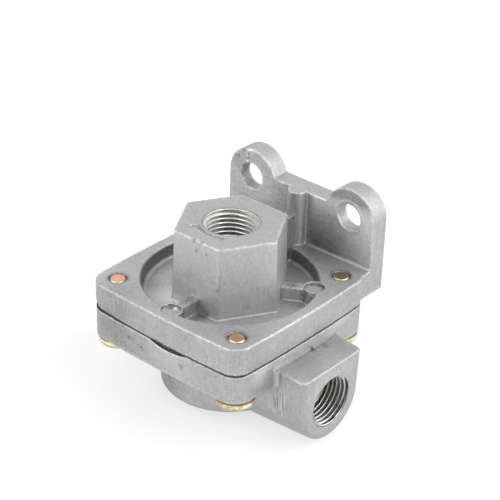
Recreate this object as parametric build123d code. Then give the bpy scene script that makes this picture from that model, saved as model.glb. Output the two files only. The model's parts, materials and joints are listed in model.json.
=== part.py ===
from build123d import *
from math import acos, atan2, cos, hypot, radians, sin, tan
import os

# Quick release valve: a cast cover with a hexagonal supply port and a mounting plate, a cast body with
# two side delivery ports, and between them a rubber diaphragm that opens and closes the exhaust.
# Every length is in millimetres. The pieces are drawn with the valve axis on Z and the joint plane
# between cover and body at z = 0, and are then moved so that the origin lies on the back of the
# mounting plate, midway between its two holes.

# How far a cutting shape runs past the face that it opens, and the distance under which two places
# count as the same
cut_overrun = 1.0
same_place = 0.01

# Pipe ports, all of one thread size
port_bore_diameter = 17.1
port_bore_radius = port_bore_diameter / 2
port_mouth_chamfer = 0.1

# Mounting plate
hole_spacing = 38.1
ear_hole_diameter = 8.5
ear_hole_length = 4.0
ear_relief_radius = 7.0
ear_radius = 9.0
ear_hole_rim_radius = 5.3
ear_hole_rim_height = 0.15
hole_height = 23.6
plate_pocket_gap = 4.8
plate_thickness = 6.4
plate_top = 25.9
plate_bottom = 0.5
plate_foot_fillet = 1.0
ear_root_fillet = 0.9
plate_edge_rounding = 0.35

# Flanges of the cover and the body
flange_half_width = 28.9
flange_half_depth = 29.4
flange_side_bow = 0.9
flange_corner_radius = 5.8
cover_flange_height = 8.6
body_flange_height = 9.0
body_flange_inset = 0.15
cast_edge_rounding = 0.45

# Lowest strip of the cover's flange, shaped by the other half of the die: a little smaller, and set in
# further at the corner between -X and -Y
die_seam_height = 2.25
die_seam_inset = 0.08
die_seam_corner_inset = 0.5

# Round pocket in the top of the cover
pocket_radius = 26.2
pocket_floor = 4.1
pocket_wall_draft = 0.5
pocket_cove = 1.3

# Hexagonal supply boss
hex_across_flats = 30.0
hex_top = 27.0
hex_side_draft = 0.5
hex_corner_rounding = 1.0
hex_edge_rounding = 0.4
foot_fillet = 0.6
supply_port_depth = 12.0

# Shallow marks in the top of the hexagon: an arc beside the port and a round ejector mark at its end
top_mark_depth = 0.3
arc_mark_radius = 10.3
arc_mark_width = 1.2
arc_mark_start = -114
arc_mark_sweep = 50
round_mark_place = (-5.6, -10.0)
round_mark_radius = 1.45

# Ribs, pads and post of the cover
rib_width = 3.4
rib_edge_rounding = 0.45
rib_root_radius = 12.0
low_rib_top = 8.5
tall_rib_top = 19.3
pad_radius = 3.4
pad_hollow_radius = 3.0
pad_rim_inset = 1.1
# Angle of each low rib, and the depth of the hollow in the pad at its end
low_ribs = {-90: 0.5, 30: 1.0, 150: 0.4}
pad_bump_angle = -90
pad_bump_inwards = 1.6
pad_bump_sideways = 0.15
pad_bump_radius = 1.1
pad_bump_height = 0.5
post_radius = 3.1
post_reach = 4.0
post_rise = 0.55
post_edge_rounding = 0.3

# Passages under the supply port
drill_point_half_angle = 59
passage_radius = 4.6
spring_ledge = 10.2
spring_pocket_radius = 7.2
cover_recess_depth = 1.6
lip_seat_inner_radius = 12.6
lip_seat_outer_radius = 14.0

# Body below its flange
barrel_top_radius = 20.5
barrel_bottom_radius = 20.1
barrel_bottom = 26.2
barrel_edge_rounding = 1.2
exhaust_pad_radius = 11.4
exhaust_pad_bottom = 30.8
chamber_radius = 17.5
chamber_floor = 23.3

# Delivery bosses on the two sides of the body
delivery_face = 39.9
delivery_axis_depth = 16.6
delivery_port_depth = 13.0
delivery_port_end_cone = 1.0
delivery_passage_radius = 6.9
delivery_passage_overlap = 3.0
boss_face_radius = 12.3
boss_root_radius = 14.0
boss_face_half_width = 13.0
boss_root_half_width = 14.2
boss_face_top = 4.7
boss_root_top = 2.4
boss_face_rounding = 1.6
boss_top_chamfer = 0.3
boss_root_fillet = 1.5

# Exhaust stem and its seat
exhaust_bore_radius = 7.2
exhaust_seat_radius = 8.4
exhaust_stem_radius = 9.6
exhaust_seat_depth = 4.3
exhaust_seat_height = 1.2
exhaust_mouth_chamfer = 0.6

# Cover gasket: a flat sheet with a moulded bead that lies in a groove of the body
gasket_thickness = 0.5
gasket_edge_inset = 0.15
gasket_opening_radius = 20.0
bead_inner_radius = 26.4
bead_outer_radius = 28.2
bead_depth = 1.4
bead_clearance = 0.2
bead_edge_rounding = 0.5

# Shallow notch in the edge of the body, where the cover is prised off
notch_centre = 3.3
notch_width = 15.0
notch_depth = 1.3

# Diaphragm
diaphragm_radius = 15.5
diaphragm_thickness = 2.5
diaphragm_lip_thickness = 1.6
diaphragm_hub_radius = 3.9
diaphragm_hub_height = 1.3
diaphragm_lift = 1.8
diaphragm_edge_rounding = 0.4
lip_seat_clearance = 0.3

# Spring seat: a pressed cup washer over the hub of the diaphragm
seat_hub_clearance = 0.15
seat_pocket_clearance = 0.3
seat_thickness = 0.9
seat_rim_height = 1.9
seat_edge_rounding = 0.3

# Spring
spring_wire_diameter = 0.9
spring_mean_radius = 5.2
spring_turns = 5.5
spring_end_clearance = 0.05

# Cap screws, put in from below with their ends flush in the top of the cover
screw_offset = 23.2
screw_diameter = 5.0
screw_thread_clearance = 0.05
screw_body_clearance = 0.3
screw_end_recess = 0.1
screw_end_chamfer = 0.4
screw_hole_chamfer = 0.3
screw_head_radius = 6.0
screw_head_height = 3.3
screw_head_crown = 1.5
screw_head_bearing_rounding = 0.5
recess_length = 6.6
recess_width = 1.3
recess_floor_length = 2.2
recess_floor_width = 1.0
recess_depth = 1.9

# Places and heights that follow from the sizes above
plate_half_width = hole_spacing / 2 + ear_radius
plate_front = pocket_radius + plate_pocket_gap
plate_back = plate_front + plate_thickness
pad_circle_radius = pocket_radius - pad_rim_inset
body_top = -gasket_thickness
body_flange_bottom = body_top - body_flange_height
exhaust_seat_top = -exhaust_seat_depth
diaphragm_top = exhaust_seat_top + diaphragm_thickness
lip_seat_face = diaphragm_top + diaphragm_lift + lip_seat_clearance
supply_bore_bottom = hex_top - supply_port_depth
screw_places = [(sx * screw_offset, sy * screw_offset) for sx in (-1, 1) for sy in (-1, 1)]

# The finished pieces stand around the middle of the two mounting holes, on the back of the plate
to_mounting_holes = Location((0, -plate_back, -hole_height))


def flange_outline(inset=0.0, corner_inset=0.0):
    """Square with bowed sides and round corners, drawn smaller all round by the inset, and further at
    the corner between -X and -Y by the corner inset."""
    half_x = flange_half_width - inset
    half_y = flange_half_depth - inset
    bow = flange_side_bow
    set_in_corner = (-half_x + corner_inset, -half_y + corner_inset)
    sides = [
        ThreePointArc(set_in_corner, (0, -half_y - bow), (half_x, -half_y)),
        ThreePointArc((half_x, -half_y), (half_x + bow, 0), (half_x, half_y)),
        ThreePointArc((half_x, half_y), (0, half_y + bow), (-half_x, half_y)),
        ThreePointArc((-half_x, half_y), (-half_x - bow, 0), set_in_corner),
    ]
    square = make_face(sides)
    return fillet(square.vertices(), flange_corner_radius - inset)


def turned(*points):
    """Solid turned around the valve axis from a profile of (radius, height) points."""
    profile = make_face(Plane.XZ * Polyline(*points, close=True))
    return revolve(profile, Axis.Z)


def ring(inner_radius, outer_radius, low, high):
    """Plain ring around the valve axis between two heights."""
    return turned((inner_radius, low), (outer_radius, low), (outer_radius, high), (inner_radius, high))


def round_bar(radius, low, high, place=(0, 0)):
    """Upright round bar between two heights."""
    return Pos(place[0], place[1], low) * extrude(Circle(radius), amount=high - low)


def block(low, high):
    """Box between two opposite corners."""
    size = [b - a for a, b in zip(low, high)]
    middle = [(a + b) / 2 for a, b in zip(low, high)]
    return Pos(*middle) * Box(*size)


def rectangle(left, right, low, high):
    """Rectangle of the mounting plate's outline, given by its four sides."""
    return Pos((left + right) / 2, (low + high) / 2) * Rectangle(right - left, high - low)


def hexagon(across_flats, height):
    """Level hexagon around the valve axis with two corners on X."""
    return Pos(0, 0, height) * RegularPolygon(across_flats / 2, 6, major_radius=False)


def rim_edges(solid, axis, which):
    """Edges around the first or last face of a solid along an axis."""
    return solid.faces().sort_by(axis)[which].edges()


def mounting_plate():
    """Upright plate with two round ears and a straight top between them."""
    hole_x = hole_spacing / 2
    outline = rectangle(-plate_half_width, plate_half_width, plate_bottom, hole_height)
    outline += rectangle(-hole_x, hole_x, hole_height, plate_top)
    for side in (-1, 1):
        outline += Pos(side * hole_x, hole_height) * Circle(ear_radius)
    ear_roots = [v for v in outline.vertices() if abs(v.Y - plate_top) < same_place and abs(v.X) < hole_x]
    outline = fillet(ear_roots, ear_root_fillet)
    plate = Plane.XZ.offset(-plate_back) * extrude(outline, amount=plate_thickness)
    back_face = plate.faces().sort_by(Axis.Y)[-1]
    plate = fillet(back_face.edges(), plate_edge_rounding)
    front_face = plate.faces().sort_by(Axis.Y)[0]
    ear_edges = [e for e in front_face.edges() if e.center().Z > hole_height - ear_radius / 2]
    plate = fillet(ear_edges, plate_edge_rounding)
    return plate


def ear_holes():
    """What is cut out for the two mounting holes: a round hole from the front and a wider one behind it."""
    hole = extrude(Circle(ear_hole_diameter / 2), amount=plate_thickness + 2 * cut_overrun)
    relief = extrude(Circle(ear_relief_radius), amount=plate_thickness - ear_hole_length + cut_overrun)
    behind = Plane.XZ.offset(-plate_back - cut_overrun)
    places = [behind * Pos(side * hole_spacing / 2, hole_height) for side in (-1, 1)]
    return [place * bar for place in places for bar in (hole, relief)]


def ear_hole_rim():
    """Low raised rim around the right mounting hole, on the front of the plate."""
    rim = extrude(Circle(ear_hole_rim_radius), amount=2 * ear_hole_rim_height)
    return Plane.XZ.offset(-plate_front - ear_hole_rim_height) * Pos(hole_spacing / 2, hole_height) * rim


def supply_boss():
    """Hexagonal boss with drafted sides, round corners and eased top edges."""
    foot = hexagon(hex_across_flats + 2 * hex_side_draft, pocket_floor - cut_overrun)
    boss = loft([foot, hexagon(hex_across_flats, hex_top)])
    upright_edges = [e for e in boss.edges() if e.bounding_box().size.Z > cut_overrun]
    boss = fillet(upright_edges, hex_corner_rounding)
    return fillet(rim_edges(boss, Axis.Z, -1), hex_edge_rounding)


def hex_top_marks():
    """Shallow arc beside the supply port and the round ejector mark at its end."""
    arc = SlotArc(CenterArc((0, 0), arc_mark_radius, arc_mark_start, arc_mark_sweep), arc_mark_width)
    marks = arc + Pos(*round_mark_place) * Circle(round_mark_radius)
    return Pos(0, 0, hex_top - top_mark_depth) * extrude(marks, amount=top_mark_depth + cut_overrun)


def pad_place(angle, inwards=0.0, sideways=0.0):
    """Centre of the round pad at the outer end of a low rib, or a place beside it."""
    reach, turn = pad_circle_radius - inwards, radians(angle)
    return (reach * cos(turn) - sideways * sin(turn), reach * sin(turn) + sideways * cos(turn))


def cover_ribs():
    """Three low ribs that run from the hexagon to round pads at the rim, and a tall one to the post."""
    half = rib_width / 2
    below_floor = pocket_floor - cut_overrun
    parts = [block((-half, rib_root_radius, below_floor), (half, plate_front, tall_rib_top))]
    for angle in low_ribs:
        rib = block((rib_root_radius, -half, below_floor), (pad_circle_radius, half, low_rib_top))
        rib = fillet(rib.edges().filter_by(Axis.X).group_by(Axis.Z)[-1], rib_edge_rounding)
        parts.append(Rot(0, 0, angle) * rib)
        parts.append(round_bar(pad_radius, below_floor, cover_flange_height, pad_place(angle)))
    return parts


def pad_hollows():
    """Round hollows in the tops of the pads."""
    over_rim = cover_flange_height + cut_overrun
    return [
        round_bar(pad_hollow_radius, cover_flange_height - depth, over_rim, pad_place(angle))
        for angle, depth in low_ribs.items()
    ]


def pad_bump():
    """Small round bump on the floor of one hollow: the top of a ball that is sunk in the pad."""
    ball_radius = (pad_bump_radius**2 + pad_bump_height**2) / (2 * pad_bump_height)
    bump_top = cover_flange_height - low_ribs[pad_bump_angle] + pad_bump_height
    place = pad_place(pad_bump_angle, pad_bump_inwards, pad_bump_sideways)
    return Pos(*place, bump_top - ball_radius) * Sphere(ball_radius)


def plate_post():
    """Round post that stands against the front of the plate, a little higher than its top edge."""
    post_axis = plate_front + post_radius - post_reach
    post = round_bar(post_radius, pocket_floor, plate_top + post_rise, (0, post_axis))
    return fillet(rim_edges(post, Axis.Z, -1), post_edge_rounding)


def supply_passages():
    """Space inside the cover: threaded port, passage, spring pocket and the recess over the diaphragm."""
    cone = (port_bore_radius - passage_radius) / tan(radians(drill_point_half_angle))
    return turned(
        (0, hex_top + cut_overrun),
        (port_bore_radius + port_mouth_chamfer + cut_overrun, hex_top + cut_overrun),
        (port_bore_radius, hex_top - port_mouth_chamfer),
        (port_bore_radius, supply_bore_bottom),
        (passage_radius, supply_bore_bottom - cone),
        (passage_radius, spring_ledge),
        (spring_pocket_radius, spring_ledge),
        (spring_pocket_radius, cover_recess_depth),
        (lip_seat_inner_radius, cover_recess_depth),
        (lip_seat_inner_radius, lip_seat_face),
        (lip_seat_outer_radius, lip_seat_face),
        (lip_seat_outer_radius, cover_recess_depth),
        (chamber_radius, cover_recess_depth),
        (chamber_radius, -cut_overrun),
        (0, -cut_overrun),
    )


def cover_pocket():
    """Round pocket in the top of the flange, with a drafted wall, a cove at its foot and an eased rim."""
    eased = pocket_radius + cast_edge_rounding
    pocket = turned(
        (0, pocket_floor),
        (pocket_radius - pocket_wall_draft, pocket_floor),
        (pocket_radius, cover_flange_height - cast_edge_rounding),
        (eased, cover_flange_height),
        (eased, cover_flange_height + cut_overrun),
        (0, cover_flange_height + cut_overrun),
    )
    return fillet(rim_edges(pocket, Axis.Z, 0), pocket_cove)


def cover_flange():
    """Flange of the cover: a straight part from the upper half of the die on a drafted strip below."""
    seam = Pos(0, 0, die_seam_height) * flange_outline()
    upper = extrude(seam, amount=cover_flange_height - die_seam_height)
    upper = fillet(rim_edges(upper, Axis.Z, -1), cast_edge_rounding)
    lower = loft([flange_outline(die_seam_inset, die_seam_corner_inset), seam])
    return upper + lower


def make_cover():
    flange = cover_flange()
    shelf_low = (-plate_half_width, 0, plate_bottom)
    shelf_high = (plate_half_width, plate_back - plate_thickness / 2, cover_flange_height)
    shell = flange + block(shelf_low, shelf_high) + mounting_plate()
    foot_edges = [
        e for e in shell.edges().filter_by(Axis.X)
        if abs(e.center().Y - plate_front) < same_place
        and abs(e.center().Z - cover_flange_height) < same_place
    ]
    shell = fillet(foot_edges, plate_foot_fillet)
    shell -= cover_pocket()
    shell += supply_boss()
    shell += cover_ribs()
    foot_edges = [
        e for e in shell.edges()
        if abs(e.center().Z - pocket_floor) < same_place
        and Vector(e.center().X, e.center().Y).length < pocket_radius - pocket_wall_draft - pocket_cove
    ]
    shell = fillet(foot_edges, foot_fillet)
    shell += plate_post()
    post_feet = [
        e for e in shell.edges().filter_by(GeomType.CIRCLE)
        if abs(e.center().X) < post_radius and plate_front - post_reach < e.center().Y < plate_front
        and abs(e.center().Z - cover_flange_height) < same_place
    ]
    shell = fillet(post_feet, foot_fillet)
    shell += ear_hole_rim()
    shell -= pad_hollows()
    shell += pad_bump()
    shell -= [supply_passages(), hex_top_marks()]
    shell -= ear_holes()
    thread_radius = screw_diameter / 2 + screw_thread_clearance
    mouth = Cone(thread_radius, thread_radius + screw_hole_chamfer, screw_hole_chamfer)
    mouth_middle = cover_flange_height - screw_hole_chamfer / 2
    for place in screw_places:
        shell -= round_bar(thread_radius, -cut_overrun, cover_flange_height + cut_overrun, place)
        shell -= Pos(*place, mouth_middle) * mouth
    return shell


def delivery_boss_profile(x, bottom_radius, half_width, top_depth):
    """Section of a side boss: a flat top and sides that run down into a full round."""
    rise = delivery_axis_depth - top_depth
    side_angle = atan2(rise, half_width) - acos(bottom_radius / hypot(half_width, rise))
    side_foot = bottom_radius * cos(side_angle)
    foot_height = bottom_radius * sin(side_angle) - delivery_axis_depth
    top_and_sides = Polyline(
        (-side_foot, foot_height),
        (-half_width, -top_depth),
        (half_width, -top_depth),
        (side_foot, foot_height),
    )
    lowest = (0, -delivery_axis_depth - bottom_radius)
    bottom = ThreePointArc((side_foot, foot_height), lowest, (-side_foot, foot_height))
    return Plane.YZ.offset(x) * make_face([top_and_sides, bottom])


def delivery_boss():
    """Side boss, drafted from the middle of the body out to its port face, with eased edges."""
    root = delivery_boss_profile(0, boss_root_radius, boss_root_half_width, boss_root_top)
    face = delivery_boss_profile(delivery_face, boss_face_radius, boss_face_half_width, boss_face_top)
    boss = loft([root, face])
    face_edges = rim_edges(boss, Axis.X, -1)
    boss = fillet(face_edges.sort_by(Axis.Z)[:-1], boss_face_rounding)
    top_edges = [e for e in rim_edges(boss, Axis.Z, -1) if e.center().X > same_place]
    return chamfer(top_edges, boss_top_chamfer)


def body_barrel():
    """Round barrel below the flange, lightly drafted, with an eased bottom edge and the exhaust pad."""
    ease = barrel_edge_rounding
    barrel = turned(
        (0, body_top - body_flange_height / 2),
        (barrel_top_radius, body_top - body_flange_height / 2),
        (barrel_top_radius, body_flange_bottom),
        (barrel_bottom_radius, -barrel_bottom),
        (0, -barrel_bottom),
    )
    barrel = fillet(rim_edges(barrel, Axis.Z, 0), ease)
    pad = round_bar(exhaust_pad_radius, -exhaust_pad_bottom, body_flange_bottom)
    pad = fillet(rim_edges(pad, Axis.Z, 0), cast_edge_rounding)
    return barrel + pad


def body_chamber():
    """Ring-shaped delivery chamber around the exhaust stem, open to the joint plane."""
    return turned(
        (exhaust_stem_radius, -chamber_floor),
        (chamber_radius, -chamber_floor),
        (chamber_radius, cut_overrun),
        (0, cut_overrun),
        (0, exhaust_seat_top),
        (exhaust_seat_radius, exhaust_seat_top),
        (exhaust_seat_radius, exhaust_seat_top - exhaust_seat_height),
        (exhaust_stem_radius, exhaust_seat_top - exhaust_seat_height),
    )


def exhaust_passage():
    """Straight exhaust bore through the stem, with a chamfered mouth at the bottom."""
    mouth = exhaust_bore_radius + exhaust_mouth_chamfer
    return turned(
        (0, cut_overrun),
        (exhaust_bore_radius, cut_overrun),
        (exhaust_bore_radius, -exhaust_pad_bottom + exhaust_mouth_chamfer),
        (mouth, -exhaust_pad_bottom),
        (mouth, -exhaust_pad_bottom - cut_overrun),
        (0, -exhaust_pad_bottom - cut_overrun),
    )


def delivery_passage():
    """Threaded port and the passage behind it, from the boss face to the delivery chamber."""
    passage_start = chamber_radius - delivery_passage_overlap
    bore_bottom = delivery_face - delivery_port_depth
    wide = port_bore_radius + port_mouth_chamfer
    profile = Polyline(
        (passage_start, 0),
        (passage_start, delivery_passage_radius),
        (bore_bottom - delivery_port_end_cone, delivery_passage_radius),
        (bore_bottom, port_bore_radius),
        (delivery_face - port_mouth_chamfer, port_bore_radius),
        (delivery_face, wide),
        (delivery_face + cut_overrun, wide),
        (delivery_face + cut_overrun, 0),
        close=True,
    )
    cut = revolve(make_face(Plane.XZ * profile), Axis.X)
    return Pos(0, 0, -delivery_axis_depth) * cut


def prising_notch():
    """Shallow hollow in the top edge of the body flange, as wide and deep as named above."""
    radius = (notch_width**2 / 4 + notch_depth**2) / (2 * notch_depth)
    reach = flange_half_depth + flange_side_bow + cut_overrun - bead_inner_radius
    bar = Plane.XZ.offset(bead_inner_radius) * extrude(Circle(radius), amount=reach)
    return Pos(notch_centre, 0, body_top - notch_depth + radius) * bar


def make_body():
    flange_face = Pos(0, 0, body_flange_bottom) * flange_outline(body_flange_inset)
    flange = extrude(flange_face, amount=body_flange_height)
    flange = fillet(rim_edges(flange, Axis.Z, -1), cast_edge_rounding)
    boss = delivery_boss()
    shell = flange + boss + Rot(0, 0, 180) * boss
    root_edges = [
        e for e in shell.edges()
        if abs(e.center().Y) < flange_half_depth - flange_corner_radius
        and flange_half_width - cut_overrun < abs(e.center().X) < flange_half_width + flange_side_bow
        and body_flange_bottom + same_place < e.center().Z < body_top - 2 * cast_edge_rounding
    ]
    shell = fillet(root_edges, boss_root_fillet)
    shell += body_barrel()
    shell -= body_chamber()
    shell -= exhaust_passage()
    port = delivery_passage()
    shell -= [port, Rot(0, 0, 180) * port]
    shell -= ring(
        bead_inner_radius - bead_clearance,
        bead_outer_radius + bead_clearance,
        body_top - bead_depth - bead_clearance,
        cut_overrun,
    )
    shell -= prising_notch()
    hole_radius = screw_diameter / 2 + screw_body_clearance
    for place in screw_places:
        shell -= round_bar(hole_radius, body_flange_bottom - cut_overrun, cut_overrun, place)
    return shell


def make_cover_gasket():
    sheet = Pos(0, 0, body_top) * extrude(flange_outline(gasket_edge_inset), amount=gasket_thickness)
    bead = ring(bead_inner_radius, bead_outer_radius, body_top - bead_depth, body_top + gasket_thickness / 2)
    bead = fillet(bead.edges().group_by(Axis.Z)[0], bead_edge_rounding)
    gasket = sheet + bead
    gasket -= round_bar(gasket_opening_radius, body_top - cut_overrun, cut_overrun)
    hole_radius = screw_diameter / 2 + screw_body_clearance
    for place in screw_places:
        gasket -= round_bar(hole_radius, body_top - cut_overrun, cut_overrun, place)
    return gasket


def make_diaphragm():
    lip_bottom = diaphragm_top - diaphragm_lip_thickness
    hub_top = diaphragm_top + diaphragm_hub_height
    ease = diaphragm_edge_rounding
    return turned(
        (0, exhaust_seat_top),
        (exhaust_stem_radius, exhaust_seat_top),
        (lip_seat_inner_radius, lip_bottom),
        (diaphragm_radius - ease, lip_bottom),
        (diaphragm_radius, lip_bottom + ease),
        (diaphragm_radius, diaphragm_top - ease),
        (diaphragm_radius - ease, diaphragm_top),
        (diaphragm_hub_radius, diaphragm_top),
        (diaphragm_hub_radius, hub_top - ease),
        (diaphragm_hub_radius - ease, hub_top),
        (0, hub_top),
    )


def make_spring_seat():
    inner = diaphragm_hub_radius + seat_hub_clearance
    outer = spring_pocket_radius - seat_pocket_clearance
    rim_inner = outer - seat_thickness
    floor_top = diaphragm_top + seat_thickness
    seat = turned(
        (inner, diaphragm_top),
        (outer, diaphragm_top),
        (outer, diaphragm_top + seat_rim_height),
        (rim_inner, diaphragm_top + seat_rim_height),
        (rim_inner, floor_top),
        (inner, floor_top),
    )
    foot_edges = seat.edges().group_by(Axis.Z)[0]
    outer_foot = [e for e in foot_edges if e.radius > rim_inner]
    return fillet(outer_foot, seat_edge_rounding)


def make_spring():
    """Open coil between the spring seat and the ledge in the cover."""
    low = diaphragm_top + seat_thickness + spring_end_clearance + spring_wire_diameter / 2
    high = spring_ledge - spring_end_clearance - spring_wire_diameter / 2
    path = Helix((high - low) / spring_turns, high - low, spring_mean_radius)
    start = Plane(origin=path @ 0, z_dir=path % 0)
    coil = sweep(start * Circle(spring_wire_diameter / 2), path=path, is_frenet=True)
    return Pos(0, 0, low) * coil


def cross_recess():
    """Cross-shaped driving recess, narrower at its bottom, for the underside of a screw head."""
    arms = []
    for angle in (0, 90):
        mouth = Rectangle(recess_length, recess_width)
        floor = Pos(0, 0, recess_depth) * Rectangle(recess_floor_length, recess_floor_width)
        arms.append(Rot(0, 0, angle) * loft([mouth, floor]))
    return arms[0] + arms[1]


def make_cap_screw(place):
    """Cap screw with its pan head below the body flange and its end in the top of the cover."""
    head_low = body_flange_bottom - screw_head_height
    shank_high = cover_flange_height - screw_end_recess
    head = round_bar(screw_head_radius, head_low, body_flange_bottom)
    head = fillet(rim_edges(head, Axis.Z, 0), screw_head_crown)
    head = fillet(rim_edges(head, Axis.Z, -1), screw_head_bearing_rounding)
    shank = round_bar(screw_diameter / 2, head_low + recess_depth, shank_high)
    shank = chamfer(rim_edges(shank, Axis.Z, -1), screw_end_chamfer)
    screw = head + shank - Pos(0, 0, head_low) * cross_recess()
    return Pos(place[0], place[1], 0) * screw


pieces = {
    "cover": make_cover(),
    "body": make_body(),
    "cover_gasket": make_cover_gasket(),
    "diaphragm": make_diaphragm(),
    "spring_seat": make_spring_seat(),
    "spring": make_spring(),
}
for number, place in enumerate(screw_places, start=1):
    pieces[f"cap_screw_{number}"] = make_cap_screw(place)

os.makedirs("parts", exist_ok=True)
for name, piece in pieces.items():
    export_step(to_mounting_holes * piece, f"parts/{name}.step")
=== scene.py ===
import json
from math import cos, pi, radians, sin

import bmesh
import bpy
from mathutils import Matrix, Vector


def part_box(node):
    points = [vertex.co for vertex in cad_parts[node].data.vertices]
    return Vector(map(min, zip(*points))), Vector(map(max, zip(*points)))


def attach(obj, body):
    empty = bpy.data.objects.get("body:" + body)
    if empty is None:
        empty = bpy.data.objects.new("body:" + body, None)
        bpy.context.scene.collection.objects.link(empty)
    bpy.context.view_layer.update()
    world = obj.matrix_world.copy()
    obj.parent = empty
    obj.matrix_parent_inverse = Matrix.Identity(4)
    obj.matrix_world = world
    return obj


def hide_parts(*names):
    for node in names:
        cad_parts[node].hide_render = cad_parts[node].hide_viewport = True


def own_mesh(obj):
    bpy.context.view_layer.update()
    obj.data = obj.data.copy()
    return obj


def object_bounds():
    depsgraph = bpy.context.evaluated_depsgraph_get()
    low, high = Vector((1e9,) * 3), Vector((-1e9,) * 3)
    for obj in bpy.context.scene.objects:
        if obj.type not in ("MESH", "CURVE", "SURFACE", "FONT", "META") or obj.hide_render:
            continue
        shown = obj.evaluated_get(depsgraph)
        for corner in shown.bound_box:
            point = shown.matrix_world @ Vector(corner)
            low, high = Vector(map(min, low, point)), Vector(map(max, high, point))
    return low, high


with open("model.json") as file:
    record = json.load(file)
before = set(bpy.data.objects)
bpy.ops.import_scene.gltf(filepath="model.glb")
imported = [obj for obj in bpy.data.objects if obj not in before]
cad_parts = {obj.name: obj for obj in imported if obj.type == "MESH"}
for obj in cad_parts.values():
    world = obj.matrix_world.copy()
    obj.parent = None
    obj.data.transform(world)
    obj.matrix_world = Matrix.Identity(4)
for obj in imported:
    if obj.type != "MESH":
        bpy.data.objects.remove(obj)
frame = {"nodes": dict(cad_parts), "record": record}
cad_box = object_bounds()
parts = frame["nodes"]
mounts = {mount["name"]: mount for mount in frame["record"]["mounts"]}
mm = 0.001

# Camera, found from the photograph: its place around the valve, in degrees and millimetres
camera_azimuth = 40.105
camera_elevation = 29.734
camera_roll = 1.915
camera_distance = 490.317
camera_target = (-6.328, -21.19, -15.203)
camera_lens = 116.85
camera_sensor = 36.0

# Pipe thread of the three ports, 18 threads to the inch, in millimetres
thread_pitch = 25.4 / 18
thread_height = 1.08
thread_taper = 1 / 32
thread_flat = 0.11
thread_wall = 0.04
thread_columns = 160
thread_rows = 12
port_chamfer = 0.1

# Limits for cleaning a mesh, in millimetres and degrees
weld_distance = 0.004
smallest_size = 0.001
sharp_angle = 38

# Places on the castings, in millimetres from the middle of the two mounting holes
hole_x = 19.05
plate_front = -6.4
valve_axis = -37.4
screw_axes = [(x, y) for x in (-23.2, 23.2) for y in (-60.6, -14.2)]
hexagon_top = 3.4
flange_top = -15.0
joint_heights = (-24.3, -23.4)
boss_top = -26.0
flange_underside = -33.1
port_axis = -40.2
port_face = 39.9
flange_edge = 29.5

# Radii around the valve's axis and in a mounting hole, in millimetres
hexagon_radius = 17
pocket_wall_radii = (21.5, 28.0)
barrel_radius = 20.5
hole_radius = 4.25

# Mouth of each threaded port: its radius in millimetres and how steeply its lead-in narrows
port_mouths = {
    "supply_port": (8.45, 1.2),
    "delivery_port_right": (7.9, 2.0),
    "delivery_port_left": (7.9, 2.0),
}

# Cut metal: its tone, the pitch of the tool's rings and the width of its lines in millimetres. The
# thread of the supply port is dull on the two sides that lie along a direction from its middle.
cut_tone = (0.74, 0.74, 0.725)
tool_mark_pitch = 0.34
tool_line_width = 0.30
dull_direction = radians(40)

# Thin ridge of casting flash on the left ear: places along it in x and z, and its radius
ear_flash = [(-19.5, 8.6), (-20.05, 8.45), (-20.7, 7.9), (-21.1, 6.4), (-21.05, 4.6)]
ear_flash_radius = 0.24

# Curved mark in the top of the hexagon: centre and radius of its arc, and its ends along x
hook_centre = (0.8, -38.0)
hook_radius = 9.7
hook_ends = (-4.6, 5.0)

# Skin of the two castings: its tone, and the widths of its patterns, the reaches of its edge wear and
# highlight and of its painted shade in corners and creases, the rounding of its edges and its depth in
# millimetres
casting_tone = (0.395, 0.395, 0.40)
casting_metallic = 0.86
cloud_width, mottle_width, speckle_width, grain_width, drag_width = 14, 2.4, 0.9, 0.42, 0.5
pore_spacing = 1.8
pore_radius = 0.13  # as a share of the spacing
edge_reach, corner_reach, crease_reach = 1.3, 3.2, 0.8
edge_rounding = 0.42
skin_depth = 0.08

# Marks on each casting. Dents are small rough marks with their reach. Painted light and shade lies on
# wide soft areas, with their reach and how much lighter or darker they are painted. Spared areas have
# less of the
# edge wear and painted edge highlight: their reach, their core and the share of it that is missing.
cover_marks = {
    "dents": [
        ((-0.9, -52.4, 2.9), 1.3),
        ((1.8, -52.4, 3.2), 1.1),
        ((0.3, -52.5, 0.0), 0.9),
        ((3.9, -52.5, 0.2), 0.7),
        ((8.9, -52.8, 3.3), 1.3),
        ((8.9, -52.8, -10.0), 1.7),
        ((13.6, -44.6, -16.6), 1.2),
        ((1.9, -53.5, -17.0), 2.6),
        ((4.2, -53.0, -19.0), 2.4),
        ((0.0, -55.5, -15.2), 3.4),
        ((-1.2, -61.2, -15.4), 2.2),
        ((16.0, -28.3, -15.2), 3.2),
        ((11.4, -31.0, -15.2), 1.8),
        ((-22.4, plate_front, 7.7), 0.8),
        ((-24.6, plate_front, 5.2), 0.8),
        ((-21.6, plate_front, 3.6), 0.7),
    ],
    "patches": [
        # Painted shade in the gaps around the screw ends
        *[((x, y, flange_top), 4.2, -2.2) for x, y in screw_axes],
        # Painted highlight along the ridge of flash
        *[((x, plate_front - ear_flash_radius, z), 0.7, 1.8) for x, z in ear_flash],
        # Painted light and shade on wide areas
        ((-25.0, plate_front, 5.0), 7.0, -0.20),
        ((-14.0, plate_front, -3.0), 9.0, 0.20),
        ((0.5, -61.1, -15.2), 0.8, 0.9),
        ((4.0, -54.0, -18.5), 3.0, -0.28),
        ((-8.0, -50.5, -19.2), 9.0, 0.60),
        ((-19.0, -52.0, -19.2), 6.0, -0.22),
        ((-27.0, -62.0, flange_top), 10.0, 0.16),
        ((-18.0, -67.6, -19.0), 15.0, -0.22),
        ((29.8, -44.0, -19.3), 20.0, 0.16),
    ],
    "spared": [
        ((0.0, valve_axis, hexagon_top), 10.2, 9.4, 1.0),
        ((27.0, plate_front, -3.0), 13.0, 6.0, 0.45),
    ],
}
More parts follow.
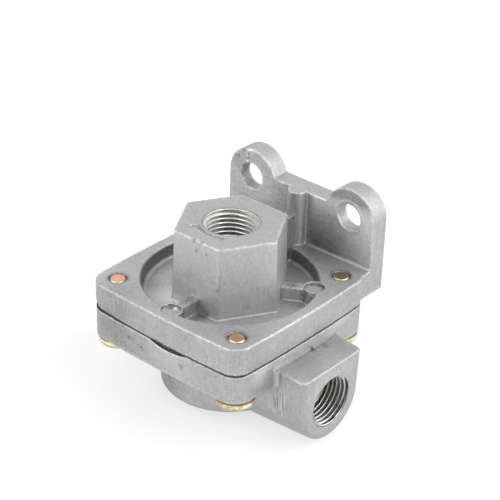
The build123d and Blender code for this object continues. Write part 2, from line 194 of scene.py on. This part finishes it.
body_marks = {
    "dents": [
        ((-12.0, -67.5, -27.4), 1.4),
        ((-6.8, -67.5, -28.8), 1.4),
        ((8.6, -67.4, -28.2), 1.5),
        ((31.6, -31.1, -27.6), 1.8),
        ((30.6, -35.5, -27.4), 1.6),
        ((37.9, -44.4, -27.6), 0.8),
    ],
    "patches": [
        # Painted light and shade on wide areas
        ((-17.0, -67.5, -28.0), 15.0, -0.26),
        ((6.0, -67.4, -27.0), 11.0, 0.22),
        ((29.7, -57.0, -26.2), 6.0, 0.5),
        ((33.0, -42.0, -27.6), 8.0, -0.10),
        ((port_face, valve_axis, -38.0), 15.0, 0.26),
    ],
    "spared": [((x, valve_axis, port_axis), 18.0, 15.0, 0.8) for x in (port_face, -port_face)],
}

# Floor and lamps, in metres. Each lamp has its azimuth and elevation in degrees, its width, and its
# power in watts.
floor_reach = 6.0
floor_gap = 0.0001
lamp_distance = 0.5
lamps = {
    "side_lamp": (115, 32, 0.65, 2.3),
    "front_lamp": (-18, 28, 0.60, 1.7),
    "back_lamp": (215, 45, 0.50, 0.25),
}

# Sockets of a Mix node for colours, by number because their names repeat
mix_factor, mix_first, mix_second, mix_result = 0, 6, 7, 2


class Value:
    """One output of a node, used in sums like a number."""

    def __init__(self, tree, socket):
        self.tree = tree
        self.socket = socket

    def math(self, operation, *terms):
        """A Math node on these terms, or on this value alone."""
        inputs = dict(enumerate(terms or (self,)))
        return self.tree.node("ShaderNodeMath", {"operation": operation}, inputs)

    def __add__(self, other):
        return self.math("ADD", self, other)

    def __sub__(self, other):
        return self.math("SUBTRACT", self, other)

    def __rsub__(self, other):
        return self.math("SUBTRACT", other, self)

    def __mul__(self, other):
        return self.math("MULTIPLY", self, other)

    def __truediv__(self, other):
        return self.math("DIVIDE", self, other)

    def __pow__(self, other):
        return self.math("POWER", self, other)

    def __abs__(self):
        return self.math("ABSOLUTE")

    __radd__ = __add__
    __rmul__ = __mul__

    def at_least(self, low):
        return self.math("MAXIMUM", self, low)

    def at_most(self, high):
        return self.math("MINIMUM", self, high)

    def equals(self, number):
        return self.math("COMPARE", self, number, 0.5)


def from_line(first, second):
    """Distance from a straight line, worked out from two offsets at right angles to it."""
    return (first ** 2 + second ** 2) ** 0.5


def waves(distance, pitch):
    """Waves from -1 to 1 along a distance, with their pitch in millimetres."""
    return (distance * (2 * pi / (pitch * mm))).math("SINE")


def opaque(colour):
    """A plain colour with full cover, and a linked one as it is."""
    return (*colour, 1.0) if isinstance(colour, tuple) else colour


class Tree:
    """A node tree in the making."""

    def __init__(self, tree):
        self.tree = tree

    def node(self, kind, settings=None, inputs=None, output=0):
        """Adds a node: its settings first, then the values or links of its sockets."""
        made = self.tree.nodes.new(kind)
        for name, setting in (settings or {}).items():
            if name == "stops":
                ramp = made.color_ramp.elements
                while len(ramp) < len(setting):
                    ramp.new(0.5)
                for stop, (position, colour) in zip(ramp, setting):
                    stop.position = position
                    stop.color = (*colour, 1.0)
            else:
                setattr(made, name, setting)
        for name, given in (inputs or {}).items():
            if isinstance(given, Value):
                self.tree.links.new(given.socket, made.inputs[name])
            else:
                made.inputs[name].default_value = given
        return Value(self, made.outputs[output]) if made.outputs else None

    def split(self, vector):
        """The x, y and z of a vector."""
        return [self.node("ShaderNodeSeparateXYZ", None, {0: vector}, output=axis) for axis in "XYZ"]

    def looked_at(self):
        """1 for rays that show a surface directly, mirrored or through glass, 0 for rays of light."""
        kinds = ("Is Camera Ray", "Is Glossy Ray", "Is Transmission Ray")
        direct, mirrored, through = (self.node("ShaderNodeLightPath", output=kind) for kind in kinds)
        return direct.at_least(mirrored).at_least(through)


class Finish(Tree):
    """A material of this valve, with the patterns that its surfaces share."""

    def __init__(self, name):
        self.material = bpy.data.materials.new(name)
        self.material.use_nodes = True
        super().__init__(self.material.node_tree)
        self.tree.nodes.clear()
        self.place = self.node("ShaderNodeTexCoord", output="Object")
        self.x, self.y, self.z = self.split(self.place)

    def moved(self, step):
        """Object coordinates moved along, so that two materials don't share one pattern."""
        inputs = {0: self.place, 1: (step, step, -step)}
        return self.node("ShaderNodeVectorMath", {"operation": "ADD"}, inputs)

    def stretched(self, scale):
        """Object coordinates stretched, for patterns with a direction."""
        inputs = {"Vector": self.place, "Scale": scale}
        return self.node("ShaderNodeMapping", {"vector_type": "TEXTURE"}, inputs)

    def noise(self, size, detail, roughness, place=None, distortion=0.0):
        """Soft noise from 0 to 1 whose features are about this many millimetres wide."""
        inputs = {
            "Vector": place or self.place,
            "Scale": 1 / (size * mm),
            "Detail": detail,
            "Roughness": roughness,
            "Distortion": distortion,
        }
        return self.node("ShaderNodeTexNoise", None, inputs)

    def spots(self, size, radius, place):
        """Round spots scattered about one cell apart, 1 in their middle and 0 outside their radius."""
        inputs = {"Vector": place, "Scale": 1 / (size * mm), "Randomness": 1.0}
        distance = self.node("ShaderNodeTexVoronoi", {"feature": "F1"}, inputs, output="Distance")
        return self.ease(distance, radius, 0.0)

    def ease(self, value, low, high, start=0.0, end=1.0):
        """Goes smoothly from start to end while the value goes from low to high."""
        inputs = {"Value": value, "From Min": low, "From Max": high, "To Min": start, "To Max": end}
        return self.node("ShaderNodeMapRange", {"interpolation_type": "SMOOTHSTEP"}, inputs)

    def fade(self, value, low, high, start=0.0, end=1.0):
        """Goes smoothly from start to end while a distance goes from low to high, in millimetres."""
        return self.ease(value, low * mm, high * mm, start, end)

    def between(self, value, low, high, soft):
        """1 from low to high, in millimetres, and 0 further out than the soft margin."""
        return self.fade(value, low - soft, low) * self.fade(value, high + soft, high)

    def near(self, place, reach, core=0.0):
        """1 at a place and out to the core, and 0 from the reach on, all in millimetres."""
        inputs = {0: self.place, 1: [length * mm for length in place]}
        distance = self.node("ShaderNodeVectorMath", {"operation": "DISTANCE"}, inputs, output="Value")
        return self.fade(distance, reach, core)

    def facing(self):
        """The x, y and z of the surface's normal."""
        return self.split(self.node("ShaderNodeTexCoord", output="Normal"))

    def mix(self, first, second, amount, blend="MIX"):
        """Colour between two colours, or another blend of them."""
        settings = {"data_type": "RGBA", "blend_type": blend}
        inputs = {mix_factor: amount, mix_first: opaque(first), mix_second: opaque(second)}
        return self.node("ShaderNodeMix", settings, inputs, mix_result)

    def shade(self, colour, factor):
        """Colour made lighter or darker by a factor."""
        grey = self.node("ShaderNodeCombineColor", None, {0: factor, 1: factor, 2: factor})
        return self.mix(colour, grey, 1.0, "MULTIPLY")

    def open_space(self, reach, inside=False):
        """1 on open surfaces, less near walls within reach, or near edges if looked at from inside."""
        settings = {"samples": 8, "inside": inside, "only_local": True}
        return self.node("ShaderNodeAmbientOcclusion", settings, {"Distance": reach * mm}, output="AO")

    def eased_edges(self, radius):
        """Normals of the surface with its sharp edges and corners rounded off."""
        return self.node("ShaderNodeBevel", {"samples": 6}, {"Radius": radius * mm})

    def bump(self, height, depth, normal=None):
        """Normals of a surface raised by this height, from 0 to 1, times the depth in millimetres."""
        inputs = {"Height": height, "Distance": depth * mm}
        if normal:
            inputs["Normal"] = normal
        return self.node("ShaderNodeBump", None, inputs)

    def surface(self, **sockets):
        """Closes the material with one shader: what varies is linked, what is constant a plain value."""
        named = {name.replace("_", " ").title(): given for name, given in sockets.items()}
        shader = self.node("ShaderNodeBsdfPrincipled", None, named)
        self.node("ShaderNodeOutputMaterial", None, {"Surface": shader})
        return self.material


def cast_skin(finish, shift, marks, lines, own_light):
    """Satin die-cast aluminium: mottled skin, grain, dark pin pores, drag lines and bright worn edges.

    The bright edges are real wear and a painted highlight, and painted shade darkens corners and
    creases.
    Each casting adds its own fine lines, and its own painted light and shade."""
    place = finish.moved(shift)
    clouds = finish.noise(cloud_width, 3, 0.55, place)
    mottle = finish.noise(mottle_width, 4, 0.62, place, 0.4)
    speckle = finish.noise(speckle_width, 2, 0.55, place)
    grain = finish.noise(grain_width, 2, 0.6, place)
    pores = finish.spots(pore_spacing, pore_radius, place) * finish.ease(clouds, 0.40, 0.60)
    upright = 1 - abs(finish.facing()[2])
    drag = finish.noise(drag_width, 3, 0.6, finish.stretched((1.0, 1.0, 9.0)))
    drag = finish.ease(drag, 0.40, 0.70) * finish.ease(upright, 0.6, 0.9)
    drag = drag * finish.ease(clouds, 0.35, 0.60)
    edges = finish.ease(finish.open_space(edge_reach, True), 0.92, 0.58)
    # Real edge wear and a painted highlight along the convex edges
    wear_and_highlight = edges * finish.ease(speckle, 0.36, 0.56, 0.2, 1.0)
    # Less of the edge wear and painted highlight in the spared areas
    for centre, reach, core, share in marks["spared"]:
        wear_and_highlight = wear_and_highlight * (1 - share * finish.near(centre, reach, core))
    # Painted shade in corners and, darker, along creases
    corners = finish.ease(finish.open_space(corner_reach), 0.90, 0.25)
    crease_shade = finish.ease(finish.open_space(crease_reach), 0.85, 0.35)
    crease_shade = crease_shade * finish.ease(mottle, 0.30, 0.55, 0.4, 1.0)
    dents = 0.0
    for centre, reach in marks["dents"]:
        dents = dents + finish.near(centre, reach)
    dents = (dents * finish.ease(grain, 0.42, 0.54)).at_most(1.0)
    pits = edges * finish.ease(grain, 0.53, 0.60)

    light = 1 + 0.16 * (clouds - 0.5) + 0.30 * (mottle - 0.5) + 0.42 * (speckle - 0.5)
    light = light + 0.50 * (grain - 0.5) + 0.42 * wear_and_highlight + 0.14 * drag + own_light
    light = light - 0.50 * pores - 0.62 * dents - 0.30 * pits - 0.12 * corners - 0.42 * crease_shade
    # Painted light and shade on wide soft areas
    for centre, reach, amount in marks["patches"]:
        light = light + amount * finish.near(centre, reach)
    colour = finish.shade(casting_tone, light.at_least(0.1))
    roughness = 0.50 + 0.20 * (mottle - 0.5) + 0.22 * (grain - 0.5) - 0.16 * wear_and_highlight + 0.10 * corners
    height = 0.50 * mottle + 0.34 * speckle + 0.34 * grain + 0.30 * drag + lines
    height = height - 0.9 * pores - 1.2 * dents
    normal = finish.bump(height, skin_depth, finish.eased_edges(edge_rounding))
    return finish.surface(
        base_color=colour, roughness=roughness, metallic=casting_metallic, normal=normal
    )


def joint_shade(finish):
    """Dark edge of the joint between the two castings, deepest at the side with the right-hand port."""
    return 0.55 * finish.between(finish.z, *joint_heights, 0.22) * finish.fade(finish.x, -12, 4)


def cast_cover_metal():
    """The cover's casting, with level lines and a painted sheen and shade on its mounting plate, and
    painted light on the upright faces of the hexagon.

    Painted shade darkens the walls of the pocket and of the left mounting hole, and the curved mark in
    the hexagon's top."""
    finish = Finish("cast_cover")
    forward, up = finish.facing()[1:]
    on_plate = finish.fade(finish.y, plate_front - 1.2, plate_front - 0.2)
    on_plate = on_plate * finish.ease(forward, -0.6, -0.9)
    lines = finish.noise(0.34, 2, 0.6, finish.stretched((14.0, 1.0, 1.0)))
    lines = (lines - 0.5) * on_plate
    # Painted sheen and shade on the right half of the plate's front: lighter below the ears and at the
    # outer part, darker at the foot
    below_ears = finish.fade(finish.z, -11, 3) * finish.fade(finish.z, 6, 2)
    outer_part = finish.fade(finish.x, 12, 26) * finish.fade(finish.z, 2, -8)
    foot = finish.fade(finish.z, -9, -14)
    right_half = finish.fade(finish.x, 3, 7)
    painted_sheen_and_shade = (below_ears + 0.55 * outer_part - 0.35 * foot) * on_plate * right_half

    from_axis = from_line(finish.x, finish.y - valve_axis * mm)
    # Painted light on the upright faces of the hexagon, stronger towards its foot
    hexagon = finish.fade(from_axis, hexagon_radius + 3, hexagon_radius)
    hexagon = hexagon * finish.ease(abs(up), 0.5, 0.2) * finish.fade(finish.z, -2, -16, 0.16, 0.30)
    # Painted shade on the walls of the pocket
    pocket_wall_shade = finish.between(from_axis, *pocket_wall_radii, 0.4) * finish.ease(abs(up), 0.6, 0.3)
    pocket_wall_shade = pocket_wall_shade * finish.fade(finish.z, flange_top + 0.1, flange_top - 0.4)
    # Painted shade on the wall of the left mounting hole
    from_hole = from_line(finish.x + hole_x * mm, finish.z)
    outer_side = finish.fade(finish.x, 1.55 - hole_x, -2.95 - hole_x, 0.25, 1.0)
    hole_wall_shade = finish.fade(from_hole, hole_radius + 0.55, hole_radius + 0.25) * outer_side
    hole_wall_shade = hole_wall_shade * finish.ease(abs(forward), 0.6, 0.3)
    # Painted shade along the curved mark in the hexagon's top
    from_hook = from_line(finish.x - hook_centre[0] * mm, finish.y - hook_centre[1] * mm)
    hook = finish.between(from_hook, hook_radius - 0.2, hook_radius + 0.2, 0.5)
    hook = hook * finish.between(finish.x, *hook_ends, 1.2) * finish.fade(finish.y, -44, -45.5)
    hook = hook * finish.fade(finish.z, hexagon_top - 0.3, hexagon_top - 0.1)

    light = 0.7 * lines + painted_sheen_and_shade + hexagon - 0.34 * pocket_wall_shade - 0.40 * hole_wall_shade - 0.34 * hook
    return cast_skin(finish, 0.013, cover_marks, lines, light - joint_shade(finish))


def cast_body_metal():
    """The body's casting, with upright drag marks where the side bosses leave the flange.

    Painted shade darkens the hollow over each boss and the left half of the barrel, and painted light
    brightens the wall of the flange over the right-hand boss."""
    finish = Finish("cast_body")
    sideways, forward, up = (abs(part) for part in finish.facing())
    outwards = abs(finish.x)
    on_side = finish.between(outwards, flange_edge - 0.9, flange_edge + 2.0, 3.0)
    on_side = on_side * finish.fade(finish.z, boss_top + 0.8, boss_top - 0.4)
    on_side = on_side * finish.fade(finish.z, port_axis - 4.8, port_axis - 1.8)
    on_side = on_side * finish.ease(forward, 0.6, 0.85)
    lines = (finish.noise(0.42, 2, 0.55, finish.stretched((1.0, 1.0, 30.0))) - 0.5) * on_side
    # Painted shade in the hollow over each boss
    hollow_shade = finish.between(outwards, flange_edge + 0.4, flange_edge + 3.1, 0.4)
    hollow_shade = hollow_shade * finish.fade(finish.z, boss_top + 1.4, boss_top + 0.8)
    hollow_shade = hollow_shade * finish.ease(sideways * up, 0.06, 0.36)
    # Painted light on the wall of the flange over the right-hand boss
    flange_wall_light = finish.fade(finish.x, flange_edge - 0.5, flange_edge)
    flange_wall_light = flange_wall_light * finish.fade(finish.z, boss_top - 1.0, boss_top + 0.4)
    flange_wall_light = flange_wall_light * finish.ease(sideways, 0.7, 0.9)
    barrel = finish.fade(finish.z, flange_underside - 0.3, flange_underside - 1.3)
    barrel = barrel * finish.fade(outwards, barrel_radius - 1.5, barrel_radius - 3.5)
    # Painted shade on the half of the barrel towards -X
    shaded_barrel_side = barrel * finish.fade(finish.x, 4, -8)

    light = 2.2 * lines + 0.26 * flange_wall_light - 0.42 * hollow_shade - 0.30 * shaded_barrel_side
    return cast_skin(finish, 0.031, body_marks, lines, light - joint_shade(finish))


def cut_thread(name, upright):
    """Bright aluminium freshly cut by the thread tap, with turning lines around the bore and its mouth.

    The upright bore is duller on two sides."""
    finish = Finish(name)
    depth = finish.z if upright else finish.x
    entry = hexagon_top * mm - depth if upright else port_face * mm - abs(depth)
    rings = finish.ease(waves(entry, tool_mark_pitch), -0.2, 0.9) * finish.fade(entry, 1.2, 0.5)
    along_bore = {"W": depth, "Scale": 1 / (tool_line_width * mm)}
    turned = finish.node("ShaderNodeTexNoise", {"noise_dimensions": "1D"}, along_bore)
    smear = finish.noise(1.1, 3, 0.6)
    lines = turned * finish.ease(smear, 0.30, 0.60, 0.5, 1.0)
    dull = finish.ease(smear, 0.45, 0.75)
    # Painted shade in the hollows of the thread
    hollow_shade = finish.ease(finish.open_space(1.0), 0.85, 0.25)
    matt = 0.0
    if upright:
        across = finish.y - valve_axis * mm
        to_side = cos(dull_direction) * finish.x + sin(dull_direction) * across
        matt = finish.fade(abs(to_side), 2.8, 5.0)
    light = 0.62 + 0.70 * lines - 0.12 * dull - 0.12 * hollow_shade - 0.72 * rings
    colour = finish.shade(cut_tone, light.at_least(0.1))
    roughness = 0.24 + 0.14 * lines + 0.12 * dull + 0.20 * matt
    metallic = 1 - 0.55 * matt
    normal = finish.bump(lines - 0.8 * rings, 0.03)
    return finish.surface(base_color=colour, roughness=roughness, metallic=metallic, normal=normal)


def plated_screw(name, node, end_tone):
    """Yellow zinc plate on head and shank, and the turned end of the screw in the top of the cover.

    The plate carries a painted highlight band and a painted shadow just under the flange.
    """
    # The pale gold is a painted highlight and the dark brown a painted shadow under the flange
    gold, highlight_gold, under_flange_shadow = (0.62, 0.52, 0.30), (0.86, 0.80, 0.62), (0.20, 0.15, 0.09)
    olive_stops = [
        (0.25, (0.36, 0.27, 0.10)),
        (0.45, (0.54, 0.45, 0.22)),
        (0.62, (0.62, 0.55, 0.32)),
        (0.80, (0.44, 0.33, 0.20)),
    ]
    low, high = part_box(node)
    centre = (low + high) / 2
    finish = Finish(name)
    radius = from_line(finish.x - centre.x, finish.y - centre.y)
    end = finish.ease(finish.z, high.z - 0.7 * mm, high.z - 0.3 * mm)
    below = flange_underside * mm - finish.z
    blotch = finish.noise(2.6, 2, 0.5)
    fine = finish.noise(0.3, 2, 0.6)
    plating = finish.node("ShaderNodeValToRGB", {"stops": olive_stops}, {"Fac": blotch})
    # Painted highlight band on the side of the head
    highlight_band = finish.between(below, 1.1, 1.8, 0.3) * finish.ease(blotch, 0.30, 0.60)
    plating = finish.mix(plating, highlight_gold, highlight_band)
    # Painted shadow just under the flange
    plating = finish.mix(plating, under_flange_shadow, finish.fade(below, 0.95, 0.70))
    rim = finish.fade(radius, 1.95, 2.2)
    disc = finish.shade(finish.mix(end_tone, gold, rim), 0.70 + 0.60 * blotch)
    colour = finish.shade(finish.mix(plating, disc, end), 0.92 + 0.16 * fine)
    roughness = 0.26 + 0.12 * fine + 0.22 * end * (1 - rim)
    height = 0.6 * fine + 0.15 * waves(radius, tool_mark_pitch) * end
    normal = finish.bump(height, 0.018, finish.eased_edges(0.12))
    return finish.surface(base_color=colour, roughness=roughness, metallic=1.0, normal=normal)


def black_rubber(name, gloss, highlit_span=None):
    """Black moulded rubber with a dull skin and a little bloom, and, where a span is given, a painted
    highlight between two places along X.
    """
    # The grey is a painted highlight
    black, bloomed, highlight_grey = (0.012, 0.012, 0.013), (0.050, 0.050, 0.052), (0.13, 0.13, 0.13)
    finish = Finish(name)
    bloom = finish.noise(1.4, 4, 0.6)
    fine = finish.noise(0.18, 2, 0.6)
    colour = finish.mix(black, bloomed, finish.ease(bloom, 0.40, 0.80))
    if highlit_span:
        # Painted highlight between two places along X
        colour = finish.mix(colour, highlight_grey, finish.between(finish.x, *highlit_span, 1.6))
    roughness = gloss + 0.18 * (fine - 0.5) + 0.10 * bloom
    normal = finish.bump(0.7 * fine + 0.3 * bloom, 0.018)
    return finish.surface(base_color=colour, roughness=roughness, metallic=0.0, normal=normal)


def bright_steel(name, tone, grain_size):
    """Drawn or pressed steel with fine streaks."""
    finish = Finish(name)
    streaks = finish.noise(grain_size, 3, 0.6, finish.stretched((3.0, 1.0, 1.0)))
    stain = finish.noise(1.6, 3, 0.6)
    colour = finish.shade(tone, 0.78 + 0.26 * streaks + 0.16 * stain)
    roughness = 0.26 + 0.16 * streaks
    normal = finish.bump(streaks, 0.008)
    return finish.surface(base_color=colour, roughness=roughness, metallic=1.0, normal=normal)


def dress(node, material):
    """Gives a CAD node its finish."""
    slots = parts[node].data.materials
    slots.clear()
    slots.append(material)


def placed(name, data):
    """A new object in the scene."""
    made = bpy.data.objects.new(name, data)
    bpy.context.scene.collection.objects.link(made)
    return made


class Shape(Tree):
    """A geometry tree in the making, with named inputs for its sizes."""

    def __init__(self, name, sizes, materials):
        super().__init__(bpy.data.node_groups.new(name, "GeometryNodeTree"))
        sockets = self.tree.interface
        for size in sizes:
            kind = "NodeSocketInt" if isinstance(sizes[size], int) else "NodeSocketFloat"
            sockets.new_socket(size, in_out="INPUT", socket_type=kind)
        for material in materials:
            sockets.new_socket(material, in_out="INPUT", socket_type="NodeSocketMaterial")
        sockets.new_socket("Geometry", in_out="OUTPUT", socket_type="NodeSocketGeometry")
        self.given = self.tree.nodes.new("NodeGroupInput")

    def size(self, name):
        return Value(self, self.given.outputs[name])

    def close(self, geometry):
        """Ends the tree: instances made real, and the geometry handed out."""
        real = self.node("GeometryNodeRealizeInstances", None, {"Geometry": geometry})
        self.node("NodeGroupOutput", None, {"Geometry": real})

    def made(self, name, values):
        """Runs the tree with these values for its inputs and returns a plain mesh object."""
        holder = placed(name, bpy.data.meshes.new(name))
        modifier = holder.modifiers.new(name, "NODES")
        modifier.node_group = self.tree
        for item in self.tree.interface.items_tree:
            if item.in_out == "INPUT":
                modifier[item.identifier] = values[item.name]
        bpy.context.view_layer.update()
        evaluated = holder.evaluated_get(bpy.context.evaluated_depsgraph_get())
        mesh = bpy.data.meshes.new_from_object(evaluated)
        holder.modifiers.clear()
        holder.data = mesh
        return holder


# Inputs of the thread's tree: those that each port sets, and those that stay the same
port_sizes = ["Bore Radius", "Depth", "Mouth Radius", "Lead In"]
thread_sizes = {
    "Chamfer": port_chamfer * mm,
    "Pitch": thread_pitch * mm,
    "Height": thread_height * mm,
    "Taper": thread_taper,
    "Flat": thread_flat,
    "Wall": thread_wall * mm,
    "Columns": thread_columns,
    "Rows": thread_rows,
}


def thread_tree():
    """Closed sleeve with a tapered pipe thread inside, its mouth at z = 0 and its length down -Z.

    A grid is wrapped round the axis. Its rows follow the helix, so that the crests run along them, and
    they are held between the mouth and the bottom. Four more rows close the ring at the mouth and
    outside."""
    sizes = {**dict.fromkeys(port_sizes, 0.0), **thread_sizes}
    shape = Shape("port thread", sizes, ["Cut Metal", "Face Metal"])
    bore, depth, pitch = (shape.size(name) for name in ("Bore Radius", "Depth", "Pitch"))
    wall, chamfer, rows, flat = (shape.size(name) for name in ("Wall", "Chamfer", "Rows", "Flat"))
    turns = depth / pitch + 1
    last_row = (turns * rows).math("CEIL")
    closing_rows = 4
    sides = {
        "Size X": 1.0,
        "Size Y": 1.0,
        "Vertices X": shape.size("Columns") + 1,
        "Vertices Y": last_row + closing_rows + 1,
    }
    grid = shape.node("GeometryNodeMeshGrid", None, sides)
    across, down = shape.split(shape.node("GeometryNodeInputPosition"))[:2]
    around = across + 0.5
    row = ((down + 0.5) * (last_row + closing_rows)).math("ROUND")
    past_last = row - last_row
    on_face, chamfer_foot, outer_foot, closing = (past_last.equals(number) for number in (1, 2, 3, 4))

    along = pitch * (around + row / rows - turns) - closing
    along = along.at_least(0 - depth).at_most(0.0)
    ridge = abs(2 * (along / pitch - around).math("FRACT") - 1)
    ridge = ((ridge - flat) / (1 - 2 * flat)).at_least(0.0).at_most(1.0)
    inner = bore - wall + along * shape.size("Taper") - shape.size("Height") * ridge
    inner = inner.at_least(shape.size("Mouth Radius") + along * shape.size("Lead In"))

    outside = on_face + chamfer_foot + outer_foot
    radius = inner * (1 - outside) + (bore + chamfer) * on_face
    radius = radius + (bore - wall / 8) * (chamfer_foot + outer_foot)
    height = along * (1 - chamfer_foot - outer_foot) - chamfer * chamfer_foot - depth * outer_foot
    angle = around * (2 * pi)
    x, y = radius * angle.math("COSINE"), radius * angle.math("SINE")
    place = shape.node("ShaderNodeCombineXYZ", None, {0: x, 1: y, 2: height})
    wrapped = shape.node("GeometryNodeSetPosition", None, {"Geometry": grid, "Position": place})
    joined = {"Geometry": wrapped, "Distance": weld_distance * mm}
    merged = shape.node("GeometryNodeMergeByDistance", None, joined)
    whole = {"Geometry": merged, "Material": shape.size("Cut Metal")}
    cut = shape.node("GeometryNodeSetMaterial", None, whole)
    height = shape.split(shape.node("GeometryNodeInputPosition"))[2]
    in_face = height.math("GREATER_THAN", height, -smallest_size * mm)
    face = {"Geometry": cut, "Selection": in_face, "Material": shape.size("Face Metal")}
    shape.close(shape.node("GeometryNodeSetMaterial", None, face))
    return shape


def crisp(mesh):
    """Faces that point outwards, smooth except across sharp edges."""
    work = bmesh.new()
    work.from_mesh(mesh)
    bmesh.ops.dissolve_degenerate(work, dist=smallest_size * mm, edges=work.edges)
    bmesh.ops.recalc_face_normals(work, faces=work.faces)
    for face in work.faces:
        face.smooth = True
    for edge in work.edges:
        edge.smooth = len(edge.link_faces) == 2 and edge.calc_face_angle(0.0) < radians(sharp_angle)
    work.to_mesh(mesh)
    work.free()


def port_thread(shape, mount_name, metals):
    """Threads one port of the valve, where its mount says."""
    mount = mounts[mount_name]
    axis = Vector(mount["axis"])
    mouth_radius, lead_in = port_mouths[mount_name]
    values = dict(thread_sizes)
    values["Bore Radius"] = mount["dims"]["r_mm"] * mm
    values["Depth"] = (mount["dims"]["length_mm"] + port_chamfer) * mm
    values["Cut Metal"], values["Face Metal"] = metals
    values["Mouth Radius"], values["Lead In"] = mouth_radius * mm, lead_in
    sleeve = shape.made(mount_name + "_thread", values)
    face_centre = Vector(mount["pos_m"]) + axis * port_chamfer * mm
    turn = axis.to_track_quat("Z", "Y").to_matrix().to_4x4()
    sleeve.data.transform(Matrix.Translation(face_centre) @ turn)
    crisp(sleeve.data)
    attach(sleeve, "housing")


def flash_ridge(material):
    """Thin ridge of casting flash on the front of an ear of the plate."""
    line = bpy.data.curves.new("ear_flash_line", "CURVE")
    line.dimensions = "3D"
    line.bevel_depth = ear_flash_radius * mm
    line.bevel_resolution = 2
    line.use_fill_caps = True
    run = line.splines.new("NURBS")
    run.points.add(len(ear_flash) - 1)
    for point, (x, z) in zip(run.points, ear_flash):
        point.co = (x * mm, plate_front * mm, z * mm, 1)
    run.order_u = 3
    run.use_endpoint_u = True
    drawn = placed("ear_flash_line", line)
    mesh = bpy.data.meshes.new_from_object(drawn)
    bpy.data.objects.remove(drawn)
    crisp(mesh)
    mesh.materials.clear()
    mesh.materials.append(material)
    ridge = placed("ear_flash", mesh)
    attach(ridge, "housing")


def coil_spring():
    """The spring again, as a piece of the housing with a mesh of its own."""
    spring = parts["spring"]
    mesh = spring.data.copy()
    mesh.transform(spring.matrix_world)
    coil = placed("coil_spring", mesh)
    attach(coil, "housing")
    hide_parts("spring")
    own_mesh(coil)


def direction(azimuth, elevation):
    """Unit vector from the valve towards an azimuth and elevation in degrees."""
    around, up = radians(azimuth), radians(elevation)
    return Vector((sin(around) * cos(up), -cos(around) * cos(up), sin(up)))


def studio():
    """Pale floor, white surround and soft lamps."""
    low, high = cad_box
    centre = (low + high) / 2
    floor_mesh = bpy.data.meshes.new("floor")
    corners = [(x * floor_reach, y * floor_reach) for x, y in ((-1, -1), (1, -1), (1, 1), (-1, 1))]
    floor_mesh.from_pydata([(x, y, low.z - floor_gap) for x, y in corners], [], [(0, 1, 2, 3)])
    floor = placed("floor", floor_mesh)

    paper = Finish("floor_paper")
    plain = paper.node("ShaderNodeBsdfDiffuse", None, {"Color": (0.80, 0.80, 0.80, 1)})
    lit = paper.node("ShaderNodeBsdfDiffuse", None, {"Color": (0.50, 0.50, 0.50, 1)})
    glow = paper.node("ShaderNodeEmission", None, {"Color": (1, 1, 1, 1), "Strength": 0.60})
    white = paper.node("ShaderNodeAddShader", None, {0: lit, 1: glow})
    shader = paper.node("ShaderNodeMixShader", None, {0: paper.looked_at(), 1: plain, 2: white})
    underside = paper.node("ShaderNodeNewGeometry", output="Backfacing")
    clear = paper.node("ShaderNodeBsdfTransparent")
    shader = paper.node("ShaderNodeMixShader", None, {0: underside, 1: shader, 2: clear})
    paper.node("ShaderNodeOutputMaterial", None, {"Surface": shader})
    floor_mesh.materials.append(paper.material)

    world = bpy.data.worlds.new("studio")
    bpy.context.scene.world = world
    world.use_nodes = True
    world.node_tree.nodes.clear()
    sky = Tree(world.node_tree)
    strength = 0.45 + 0.55 * sky.looked_at()
    inputs = {"Color": (1, 1, 1, 1), "Strength": strength}
    light = sky.node("ShaderNodeBackground", None, inputs)
    sky.node("ShaderNodeOutputWorld", None, {"Surface": light})

    for name, (azimuth, elevation, width, power) in lamps.items():
        data = bpy.data.lights.new(name, "AREA")
        data.shape = "SQUARE"
        data.size = width
        data.energy = power
        made = placed(name, data)
        away = direction(azimuth, elevation)
        made.location = centre + away * lamp_distance
        made.rotation_euler = away.to_track_quat("Z", "Y").to_euler()
        made.visible_camera = False


def camera():
    """The photograph's camera."""
    around, roll = radians(camera_azimuth), radians(camera_roll)
    back = direction(camera_azimuth, camera_elevation)
    level_right = Vector((cos(around), sin(around), 0))
    level_up = back.cross(level_right)
    right = level_right * cos(roll) + level_up * sin(roll)
    up = level_up * cos(roll) - level_right * sin(roll)
    data = bpy.data.cameras.new("camera")
    data.sensor_width = camera_sensor
    data.lens = camera_lens
    data.clip_start = 0.01
    data.clip_end = 20
    made = placed("camera", data)
    place = Vector(camera_target) * mm + back * camera_distance * mm
    made.matrix_world = Matrix.Translation(place) @ Matrix((right, up, back)).transposed().to_4x4()
    bpy.context.scene.camera = made


cover_metal = cast_cover_metal()
body_metal = cast_body_metal()
dress("cover", cover_metal)
dress("body", body_metal)
# The gasket's rubber has a painted highlight on its bead between these places along X
dress("cover_gasket", black_rubber("gasket_rubber", 0.58, highlit_span=(1.8, 3.6)))
dress("diaphragm", black_rubber("diaphragm_rubber", 0.50))
dress("spring_seat", bright_steel("pressed_steel", (0.58, 0.58, 0.60), 0.5))
dress("spring", bright_steel("spring_wire", (0.52, 0.52, 0.54), 0.2))
end_tones = [(0.62, 0.36, 0.26), (0.40, 0.26, 0.15), (0.40, 0.27, 0.17), (0.22, 0.17, 0.10)]
for number, tone in enumerate(end_tones, start=1):
    screw = f"cap_screw_{number}"
    dress(screw, plated_screw(f"screw_plating_{number}", screw, tone))

threads = thread_tree()
upright_cut = cut_thread("cut_thread_upright", upright=True)
level_cut = cut_thread("cut_thread_level", upright=False)
port_thread(threads, "supply_port", (upright_cut, cover_metal))
port_thread(threads, "delivery_port_right", (level_cut, body_metal))
port_thread(threads, "delivery_port_left", (level_cut, body_metal))
flash_ridge(cover_metal)
coil_spring()

studio()
camera()
bpy.context.scene.view_settings.view_transform = "Standard"
